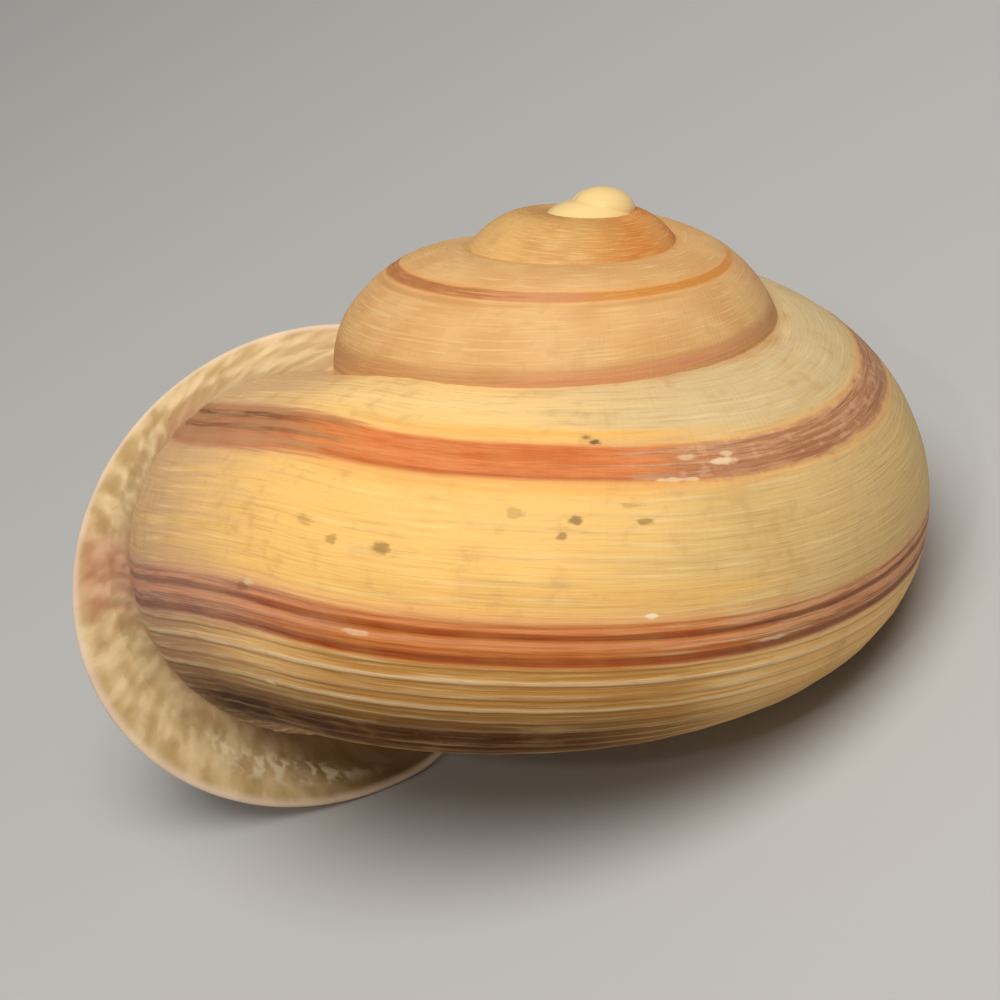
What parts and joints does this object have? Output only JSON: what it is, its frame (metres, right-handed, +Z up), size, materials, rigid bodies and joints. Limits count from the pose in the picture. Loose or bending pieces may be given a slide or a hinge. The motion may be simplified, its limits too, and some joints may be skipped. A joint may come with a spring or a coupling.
{
  "type": "snail shell",
  "caption": "Banded land snail shell: a low, right-handed coil with a stepped spire, an open umbilicus and a round mouth with an outturned lip.",
  "frame": {"origin": "centre of the shell's outline from above, on the surface it rests on", "axes": "+Z up, +X along the shell's greatest width, from the lip on the left to the last whorl on the right, -Y towards the back of the last whorl; the mouth opens towards +Y"},
  "size_m": [0.0232, 0.0178, 0.0129],
  "materials": {
    "shell": "satin"
  },
  "bodies": {
    "root": {"shell": "shell"}
  },
  "joints": []
}
